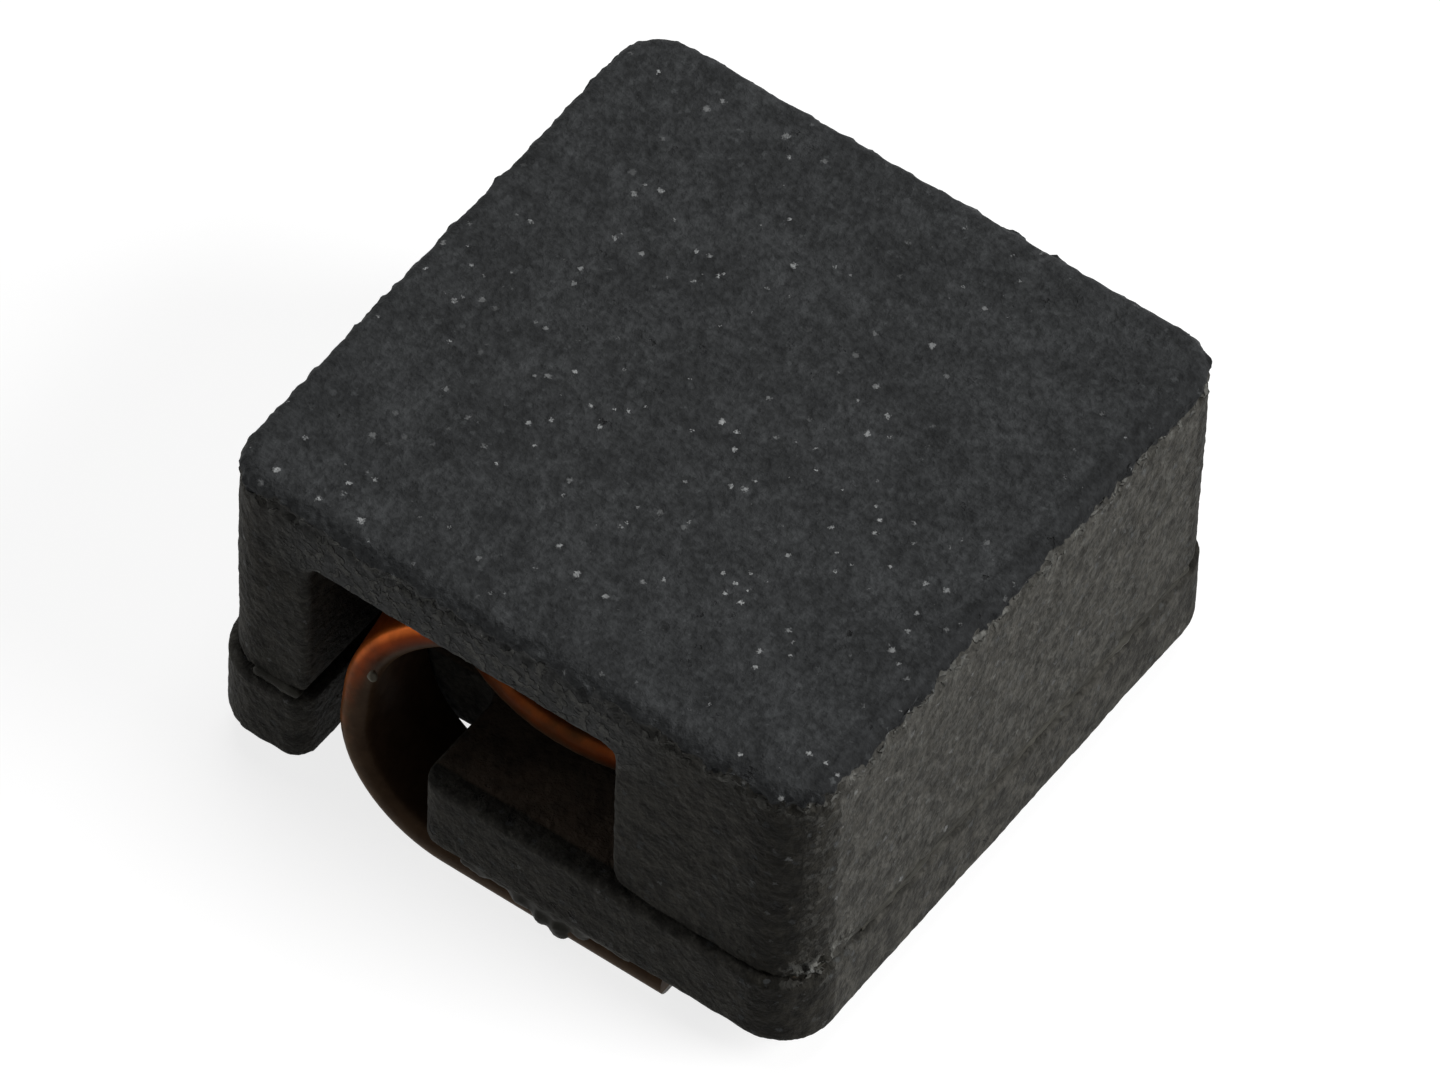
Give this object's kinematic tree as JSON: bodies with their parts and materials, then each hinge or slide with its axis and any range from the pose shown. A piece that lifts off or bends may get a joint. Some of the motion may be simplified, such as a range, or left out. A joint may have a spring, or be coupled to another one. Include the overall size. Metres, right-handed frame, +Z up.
{
  "type": "shielded power inductor for surface mounting",
  "caption": "Low square inductor: a flat wire coil wound on edge inside a pressed powder core, with the wire's ends bent under it as solder terminals.",
  "frame": {"origin": "centre of the footprint on the plane of the solder terminals' undersides", "axes": "+Z up from the board, +X along the windows towards the wide pillars, +Y from the front window to the back window"},
  "size_m": [0.0072, 0.0072, 0.0043],
  "materials": {
    "pressed_powder": "matt charcoal pressed metal powder, grainy, with fine bright flecks",
    "enamelled_copper": "copper under clear amber enamel, tinned where it is soldered",
    "adhesive": "thin dark epoxy film"
  },
  "bodies": {
    "root": {"upper_core": "pressed_powder", "lower_core": "pressed_powder", "winding": "enamelled_copper", "core_bond": "adhesive"}
  },
  "joints": []
}
